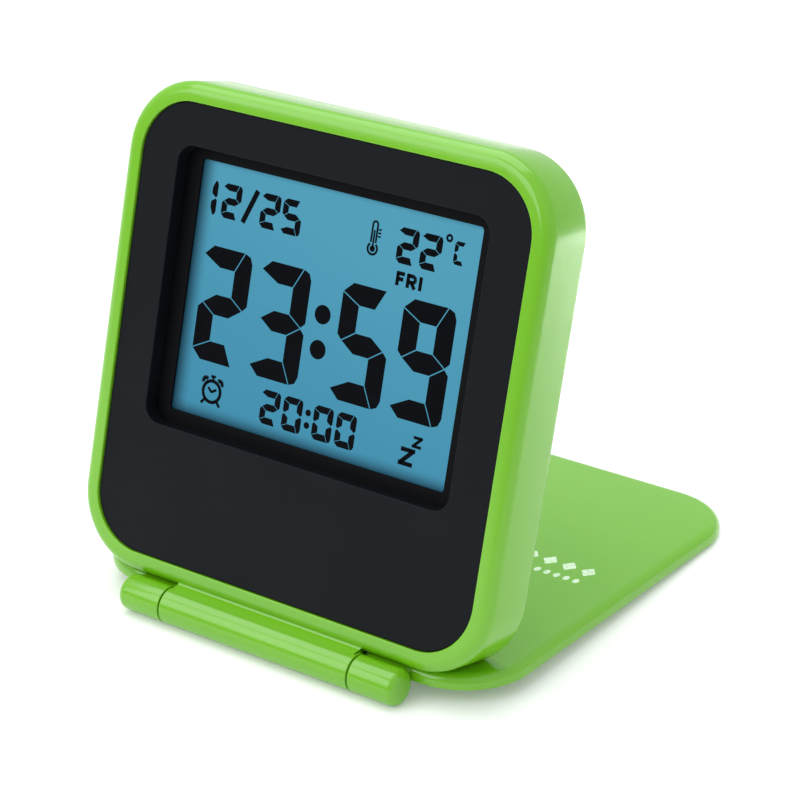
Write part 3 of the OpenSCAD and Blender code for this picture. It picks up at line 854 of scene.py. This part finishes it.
# ---- ornament on the cover ----
# White pad-printed ornament in the middle of the cover's outer face: a row of lozenges over a
# row of dots. It is ink, a hundredth of a millimetre thick.
INK = 0.012
INK_FOOT = 0.05
LOZENGE = (1.25, 1.6)
LOZENGE_PITCH = 3.45
LOZENGES = 18
LOZENGE_UP = 40.9
DOT = 0.5
DOT_PITCH = 1.725
DOTS = 35
DOT_UP = 37.2


def pad_ink():
    """White pad-printing ink, slightly thin where the pad lifted off."""
    made, shader, place = finish("pad_ink", Specular_IOR_Level=0.4)
    thin = place.noise(2200, detail=2).between(0.35, 0.6)
    feed(shader,
         Base_Color=thin.colour((0.50, 0.74, 0.42, 1), (0.74, 0.88, 0.70, 1)),
         Roughness=0.32 + thin * 0.1)
    return made


def printed_row(name, part, count, pitch, up, size):
    """Row of like marks across the middle of the cover's outer face."""
    spots = [((pitch * (k - (count - 1) / 2), cover_outer, up), size) for k in range(count)]
    return set_out(name, part, spots, ink)


ink = pad_ink()
lozenge_wide, lozenge_high = LOZENGE
lozenge = prism("lozenge", rounded([
    (lozenge_wide, 0, 0.2), (0, lozenge_high, 0.2), (-lozenge_wide, 0, 0.2), (0, -lozenge_high, 0.2)]),
    -INK, INK_FOOT, along="Y")
dot = turned("dot", [(DOT, -INK), (DOT, INK_FOOT)], (0, 0, 0), steps=20)
lozenges = printed_row("ornament", lozenge, LOZENGES, LOZENGE_PITCH, LOZENGE_UP, (1, 1, 1))
dots = printed_row("ornament_dots", dot, DOTS, DOT_PITCH, DOT_UP, (1, 1, 1.5))
fit(merge([lozenges, dots]), cover_frame, "flip_cover", "print_white", ink)

# ---- back cover ----
# Lime ABS plate let into the back of the case, held by four screws: round hole for the battery
# door with its two bayonet notches, holes for five keys, sound slots and air slots.
BACK_CORNER = CASE_CORNER - WALL - 0.1
SLOT = 1.0
SLOT_PITCH = 2.4
SOUND_UP = 50.0
SOUND_SLOT = 10.0
AIR_SLOT = 5.0
KEY_ROOM = 0.15
KEY_FLANGE = 0.7
DOOR_ROOM = 0.12
LUG_ARC = 30
NOTCH_EASE = 2
TWIST = joints["door_twist"]["range_deg"][1]
PAST_BACK = 14
KEYS = ("mode", "set", "up", "down", "snooze")
SCREW_HEAD = 1.6
SCREW_HEAD_DEEP = 0.7
SCREW_SHANK = 0.8

back_low, back_high = reach("back_cover", case_frame)
back_inside = back_high.y - BACK_LET_IN
door_low, door_high = reach("battery_door", case_frame)
door_at = case_frame.inverted() @ Vector(joints["door_twist"]["pos_m"])
door_radius = max(math.hypot(p.x, p.z - door_at.z) for p in points_of("battery_door", case_frame)
                  if p.y > back_high.y - 0.3)
lug_radius = max(math.hypot(p.x, p.z - door_at.z) for p in points_of("battery_door", case_frame))


def sector(inner, outer, start, sweep, spot, low, high, steps=10):
    """Cutter or lug along an arc round a spot, run into the depth. Angles turn from +X to +Z."""
    angles = [math.radians(start + sweep * k / steps) for k in range(steps + 1)]
    outline = [round_point(spot, outer, angle) for angle in angles]
    outline += [round_point(spot, inner, angle) for angle in reversed(angles)]
    return prism("sector", outline, low, high, along="Y")


def slots(name, length, x, z, pitch, count, shorter, upright=True):
    """Row of round-ended slots as one cutter: each is shorter by a step, away from the middle."""
    wide, high = (SLOT, length) if upright else (length, SLOT)
    part = slab("slot", wide, high, SLOT / 2 - 0.02, [(0, -3), (0, 3)], steps=8)
    middle = (count - 1) / 2
    spots = []
    for k in range(count):
        step = (k - middle) * pitch
        spot = (x + step, back_high.y, z) if upright else (x, back_high.y, z + step)
        trim = 1 - shorter * abs(k - middle)
        spots.append((spot, (1, 1, trim) if upright else (trim, 1, 1)))
    return set_out(name, part, spots, lime)


back_plate = block("lime_back_cover", back_low, back_high, BACK_CORNER,
                   [(0, back_inside), (0, back_high.y)], steps=FINE_CORNER)
door_spot = (door_at.x, door_at.z)
cuts = [drill(door_radius + DOOR_ROOM, door_spot, 0, PAST_BACK)]
cuts += [sector(door_radius - 1, lug_radius + 0.2, TWIST - turn - LUG_ARC - NOTCH_EASE,
                LUG_ARC + 2 * NOTCH_EASE, door_spot, 0, PAST_BACK) for turn in (0, 180)]
cuts += [slots("sound_slots", SOUND_SLOT, 0, SOUND_UP, SLOT_PITCH, 5, 0.2)]
air_points = reach("temperature_sensor", case_frame)
air_x = (air_points[0].x + air_points[1].x) / 2
air_z = (air_points[0].z + air_points[1].z) / 2
cuts += [slots("air_slots", AIR_SLOT, air_x, air_z, SLOT_PITCH, 3, 0.0, upright=False)]
key_boxes = {}
for key in KEYS:
    low, high = reach(key + "_button", case_frame)
    key_x, key_z = (low.x + high.x) / 2, (low.z + high.z) / 2
    wide, tall = high.x - low.x - 2 * KEY_FLANGE, high.z - low.z - 2 * KEY_FLANGE
    key_boxes[key] = (low, high, key_x, key_z, wide, tall)
    cuts.append(slab("key_hole", wide + 2 * KEY_ROOM, tall + 2 * KEY_ROOM, tall / 2 + KEY_ROOM - 0.01,
                     [(0, 0), (0, PAST_BACK)], x=key_x, z=key_z))
for spot in screw_spots:
    cuts.append(drill(SCREW_SHANK + 0.2, spot, 0, PAST_BACK))
    cuts.append(drill(SCREW_HEAD + 0.15, spot, back_high.y - SCREW_HEAD_DEEP, PAST_BACK))
for cut in cuts:
    combine(back_plate, "DIFFERENCE", cut)
soften(back_plate, 0.12, segments=2)
fit(back_plate, case_frame, "clock_body", "lime_plastic", lime, "back_cover")

# ---- battery door ----
# Lime ABS disc with two bayonet lugs. A coin turns it by its slot; the sunk dot shows it shut.
COIN_SLOT = (13.0, 1.6, 0.6)
DOOR_EDGE = 0.3
LUG_EASE = 0.4
SHUT_DOT = (0.5, 8.4, 0.2)

coin_wide, coin_high, coin_deep = COIN_SLOT
dot_radius, dot_out, dot_deep = SHUT_DOT
door_inside = back_inside + 0.05
ring_end = door_low.y + 0.1
door_plate = turned("lime_battery_door", rounded([
    (0.4, door_high.y - 0.12, 0), (coin_wide / 2 + 1.5, door_high.y, 4.0),
    (door_radius, door_high.y, DOOR_EDGE), (door_radius, door_inside, 0),
    (door_radius - 0.5, door_inside, 0), (door_radius - 0.5, ring_end, 0),
    (door_radius - 1.6, ring_end, 0), (door_radius - 1.6, door_inside, 0), (0.4, door_inside, 0)]),
    (door_at.x, 0, door_at.z), steps=96)
lugs = [sector(door_radius - 1.4, lug_radius, LUG_EASE - turn - LUG_ARC, LUG_ARC - 2 * LUG_EASE,
               door_spot, door_low.y, back_inside - 0.05) for turn in (0, 180)]
combine(door_plate, "UNION", *lugs)
slot_floor = door_high.y - coin_deep
coin_slot = slab("coin_slot", coin_wide, coin_high, 0.7,
                 rounded([(0.3, slot_floor, 0), (0, slot_floor, 0.25), (0, PAST_BACK, 0)]), z=door_at.z)
shut_dot = drill(dot_radius, (door_at.x, door_at.z + dot_out), door_high.y - dot_deep, PAST_BACK)
combine(door_plate, "DIFFERENCE", coin_slot, shut_dot)
soften(door_plate, 0.04, segments=2)
fit(door_plate, case_frame, "door", "lime_plastic", lime, "battery_door")

# ---- keys ----
# Dark grey moulded keys in the back cover: a crowned cap, a flange that keeps it in, and a post
# that works the switch. Four small keys set the clock, and the long one lights it and snoozes.
KEY_CROWN = 0.14
KEY_EDGE = 0.45
POST_RADIUS = 0.8
KEY_FLANGE_THICK = 0.45


def key_grey():
    """Dry, slightly soft-touch grey with a fine texture, shinier where it is pressed."""
    made, shader, place = finish("key_grey_plastic", IOR=1.48, Specular_IOR_Level=0.4)
    texture = place.noise(5200, detail=2, rough=0.6)
    worn = place.noise(240, detail=2).between(0.4, 0.7)
    feed(shader,
         Base_Color=worn.colour((0.017, 0.018, 0.020, 1), (0.024, 0.025, 0.028, 1)),
         Roughness=0.50 - worn * 0.12,
         Normal=texture.bump(0.008, 0.5))
    return made


key_finish = key_grey()
flange_y = back_inside - 0.2 - KEY_FLANGE_THICK
for key, (low, high, key_x, key_z, wide, tall) in key_boxes.items():
    cap = slab(key + "_key_cap", wide, tall, tall / 2 - 0.01, rounded([
        (tall / 2 - 0.3, high.y, 0), (tall * 0.28, high.y - 0.01, 2.0),
        (0, high.y - KEY_CROWN, KEY_EDGE), (0, flange_y, 0)]), x=key_x, z=key_z, steps=14)
    flange = slab("flange", high.x - low.x, high.z - low.z, 1,
                  [(0, flange_y), (0, flange_y + KEY_FLANGE_THICK)], x=key_x, z=key_z)
    combine(cap, "UNION", flange, drill(POST_RADIUS, (key_x, key_z), low.y, flange_y + 0.01))
    soften(cap, 0.06, segments=2)
    fit(cap, case_frame, key + "_key", "key_grey", key_finish, key + "_button")

# ---- screws ----
# Nickel-plated cross-head screws: four hold the back cover, four hold the board and the frame.
CROSS = 0.42
THREAD_PITCH = 0.42
BOARD_HEAD = 1.1
BOARD_HEAD_DEEP = 0.5
BOARD_SHANK = 0.6


def screw(head, head_deep, shank, length):
    """One screw about its head's outer face: domed head with a cross, and a ridged shank."""
    section = [(0.05, 0.0), (head * 0.55, 0.0), (head * 0.86, -head_deep * 0.22),
               (head, -head_deep * 0.5), (head, -head_deep)]
    ridges = max(6, int(length / THREAD_PITCH))
    for k in range(ridges):
        start = -head_deep - length * k / ridges
        section += [(shank * 0.74, start - 0.02), (shank, start - length / ridges / 2)]
    section += [(shank * 0.4, -head_deep - length)]
    made = turned("screw", section, (0, 0, 0), steps=28)
    arms = []
    for wide, tall in ((head * 1.3, CROSS * head / 1.6), (CROSS * head / 1.6, head * 1.3)):
        arms.append(slab("cross_arm", wide, tall, 0.05, [
            (min(wide, tall) * 0.3, -head_deep * 0.62), (0, -head_deep * 0.2), (0, 1)], steps=2))
    combine(made, "DIFFERENCE", *arms)
    made.data.shade_smooth()
    made.data.set_sharp_from_angle(angle=math.radians(35))
    return made


nickel = steel("nickel_plate", (0.60, 0.59, 0.57), 0.20, (1.0, 1.0, 1.0))
for node, name, head, head_deep, shank in (
        ("case_screws", "back_cover_screws", SCREW_HEAD, SCREW_HEAD_DEEP, SCREW_SHANK),
        ("board_screws", "board_fixing_screws", BOARD_HEAD, BOARD_HEAD_DEEP, BOARD_SHANK)):
    low, high = reach(node, case_frame)
    fasteners = set_out(name, screw(head, head_deep, shank, high.y - low.y - head_deep - 0.02),
                        [((x, high.y, z), (1, 1, 1)) for x, z in spots_of(node)], nickel)
    fit(fasteners, case_frame, "clock_body", "bright_steel", nickel, node)

# ---- glass, light guide and films ----
# Sealed behind the panel: two thin glasses, the rear polarizer, an acrylic light guide with its
# dot pattern, a white film behind it and two lamps at its foot. Their CAD shapes are right.


def keep(node, made):
    """Gives a CAD node that is kept its own material."""
    target = frame["nodes"][node].data
    if not target.materials:
        target.materials.append(made)
    for at in range(len(target.materials)):
        target.materials[at] = made


def thin_glass():
    """Soda glass with a green edge and faint etched electrodes."""
    made, shader, place = finish("display_glass", IOR=1.52, Transmission_Weight=0.6)
    etch = place.noise(1800, detail=2, stretch=(1.0, 0.1, 0.1)).between(0.5, 0.62)
    feed(shader,
         Base_Color=etch.colour((0.80, 0.92, 0.88, 1), (0.86, 0.93, 0.93, 1)),
         Roughness=0.03 + etch * 0.04)
    return made


def moulded(name, tone, rough, fleck, scale, depth):
    """Plain moulded or cured plastic: its tone, how rough, how much flecked and at what scale."""
    made, shader, place = finish(name, IOR=1.5)
    cloud = place.noise(scale, detail=3, rough=0.6)
    light = tuple(min(part * (1 + fleck), 1.0) for part in tone)
    feed(shader,
         Base_Color=cloud.between(0.3, 0.7).colour((*tone, 1), (*light, 1)),
         Roughness=cloud * 0.1 + rough,
         Normal=cloud.bump(depth, 0.5))
    return made


def striped_rubber():
    """Silicone rubber with a dark conducting stripe five times to the millimetre."""
    made, shader, place = finish("striped_rubber", Roughness=0.6)
    wave = place.node("ShaderNodeTexWave", {"wave_type": "BANDS", "bands_direction": "X"},
                      {"Vector": place, "Scale": 800.0, "Distortion": 0.0}, out="Fac")
    feed(shader,
         Base_Color=wave.between(0.35, 0.65).colour((0.50, 0.20, 0.24, 1), (0.02, 0.02, 0.022, 1)),
         Normal=wave.bump(0.02, 0.5))
    return made


def board_green():
    """Glass-fibre board under green mask: tracks show as raised lines, with the weave below."""
    made, shader, place = finish("board_green_mask", IOR=1.5)
    along_board = place.node("ShaderNodeMapping", None, {"Vector": place, "Rotation": (1.83, 0, 0)})
    tracks = place.node("ShaderNodeTexBrick", None,
                        {"Vector": along_board, "Scale": 170.0, "Mortar Size": 0.06,
                         "Brick Width": 0.9, "Row Height": 0.3}, out="Fac")
    weave = place.noise(3000, detail=2)
    mask = (tracks * 0.7 + weave * 0.3).colour((0.006, 0.085, 0.030, 1), (0.020, 0.20, 0.07, 1))
    feed(shader,
         Base_Color=mask,
         Roughness=0.24 + weave * 0.12,
         Normal=(tracks + weave * 0.2).bump(0.03, 0.5))
    return made


glass = thin_glass()
keep("front_glass", glass)
keep("rear_glass", glass)
keep("rear_polarizer", moulded("rear_film", (0.05, 0.20, 0.28), 0.25, 0.3, 300, 0.002))
keep("light_guide", moulded("acrylic_guide", (0.60, 0.78, 0.86), 0.08, 0.25, 1500, 0.01))
keep("reflector_film", moulded("reflector_white", (0.80, 0.81, 0.82), 0.45, 0.1, 2500, 0.004))
keep("backlight_leds", moulded("lamp_white", (0.72, 0.72, 0.62), 0.35, 0.2, 900, 0.004))

# ---- electronics ----
# On the board: the bonded chip under black resin, the crystal's can, the sensor bead, two rows of
# small parts, five key switches; and the striped connector that feeds the display.
keep("contact_strip", striped_rubber())
keep("circuit_board", board_green())
keep("clock_chip", moulded("potting_resin", (0.006, 0.006, 0.007), 0.18, 0.9, 350, 0.03))
keep("temperature_sensor", moulded("sensor_resin", (0.010, 0.010, 0.011), 0.30, 0.8, 900, 0.01))
keep("board_parts", moulded("ceramic_tan", (0.33, 0.24, 0.15), 0.40, 0.5, 2600, 0.01))
keep("quartz_crystal", steel("crystal_can", (0.63, 0.63, 0.64), 0.18, (1.0, 1.0, 0.08)))
keep("key_switches", steel("switch_dome", (0.58, 0.58, 0.60), 0.25, (1.0, 0.3, 1.0)))

# ---- sounder ----
# Thin brass disc with a ceramic middle, and the two leaf springs that feed it.
keep("piezo_disc", steel("sounder_brass", (0.66, 0.46, 0.16), 0.24, (1.0, 1.0, 0.1)))
keep("piezo_springs", steel("spring_wire", (0.56, 0.56, 0.57), 0.22, (0.2, 1.0, 1.0)))

# ---- battery ----
# Coin cell in the round hole of the board, between a bent bronze strip and a tongue.
keep("coin_cell", steel("cell_steel", (0.66, 0.66, 0.66), 0.22, (1.0, 1.0, 0.06)))
bronze = steel("phosphor_bronze", (0.64, 0.42, 0.22), 0.26, (0.1, 1.0, 1.0))
keep("cell_contact_positive", bronze)
keep("cell_contact_negative", bronze)

# ---- floor, light and camera ----
# A pale table and three soft lamps in a white room, which is darker in front: one lamp overhead,
# one in front for the face, and a small one that brightens the table behind the clock.
FLOOR = 9
ROOM_FRONT = 0.45
ROOM_BACK = 0.9
CAMERA_SPOT = (0.2153, -0.3033, 0.1972)
CAMERA_LENS = 119.71
CAMERA_TURN = 35.61
CAMERA_DOWN = 24.59
CAMERA_ROLL = 0.23

floor_mesh = bpy.data.meshes.new("floor")
floor_mesh.from_pydata([(-FLOOR, -FLOOR, 0), (FLOOR, -FLOOR, 0), (FLOOR, FLOOR, 0), (-FLOOR, FLOOR, 0)],
                       [], [(0, 1, 2, 3)])
floor = placed("floor", floor_mesh)
floor.data.materials.append(finish("pale_table", Base_Color=(0.86, 0.86, 0.86, 1.0), Roughness=0.6,
                                   Emission_Color=(1.0, 1.0, 1.0, 1.0), Emission_Strength=0.15)[0])

world = bpy.data.worlds.new("studio")
world.use_nodes = True
room = world.node_tree.nodes["Background"]
room.inputs["Color"].default_value = (0.97, 0.985, 1.0, 1)
way = Wire(world.node_tree).node("ShaderNodeTexCoord", out="Generated")
open_front = (way.axis("Y") + way.axis("Z") * 0.9).between(-0.85, 0.1, ROOM_FRONT, ROOM_BACK)
world.node_tree.links.new(open_front.socket, room.inputs["Strength"])
bpy.context.scene.world = world


def lamp(name, spot, aim, width, height, power, spread=180):
    """Soft square lamp at a spot, in metres and watts, turned to its aim."""
    data = bpy.data.lights.new(name, "AREA")
    data.shape = "RECTANGLE"
    data.size = width
    data.size_y = height
    data.energy = power
    data.spread = math.radians(spread)
    made = placed(name, data)
    made.location = spot
    made.rotation_euler = (Vector(aim) - Vector(spot)).to_track_quat("-Z", "Y").to_euler()


lamp("overhead", (-0.2, 0.05, 0.75), (0, 0, 0.03), 0.9, 0.7, 4.0)
lamp("front key", (-0.35, -0.75, 0.55), (0, 0, 0.03), 0.8, 0.6, 3.2)
lamp("table light", (0.22, 0.28, 0.30), (0.15, 0.19, 0), 0.08, 0.08, 0.33, 48)

camera_data = bpy.data.cameras.new("camera")
camera_data.lens = CAMERA_LENS
camera_data.sensor_width = 36
camera = placed("camera", camera_data)
camera.location = CAMERA_SPOT
camera.rotation_euler = (Matrix.Rotation(math.radians(CAMERA_TURN), 3, "Z")
                         @ Matrix.Rotation(math.radians(90 - CAMERA_DOWN), 3, "X")
                         @ Matrix.Rotation(math.radians(-CAMERA_ROLL), 3, "Z")).to_euler()
bpy.context.scene.camera = camera
bpy.context.scene.view_settings.view_transform = "Standard"
